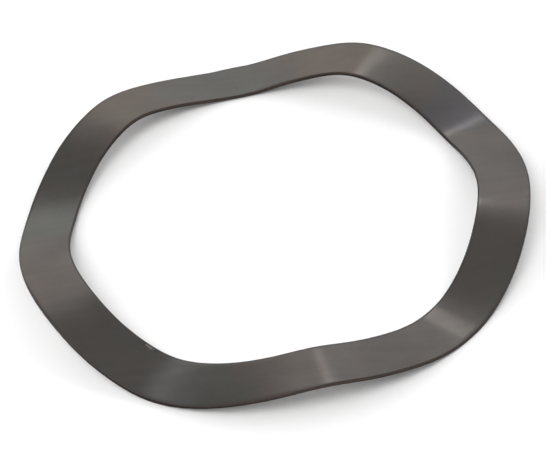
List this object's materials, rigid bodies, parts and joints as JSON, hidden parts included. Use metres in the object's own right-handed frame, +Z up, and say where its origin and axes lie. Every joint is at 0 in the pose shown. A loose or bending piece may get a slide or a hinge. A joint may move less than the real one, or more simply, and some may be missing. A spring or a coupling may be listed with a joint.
{
  "type": "wave spring washer",
  "caption": "Closed ring of dark spring steel sheet pressed into even waves, to sit behind a bearing and load it lightly along its axis.",
  "frame": {"origin": "on the ring's axis, level with the lowest troughs, where the free ring rests", "axes": "+Z up the ring's axis, +X out over a trough, with the tallest crest at -X"},
  "size_m": [0.099, 0.099, 0.0072],
  "materials": {
    "spring_steel": "satin, darkened by tempering oil, with faint rolling grain"
  },
  "bodies": {
    "root": {"wave_washer": "spring_steel"}
  },
  "joints": []
}
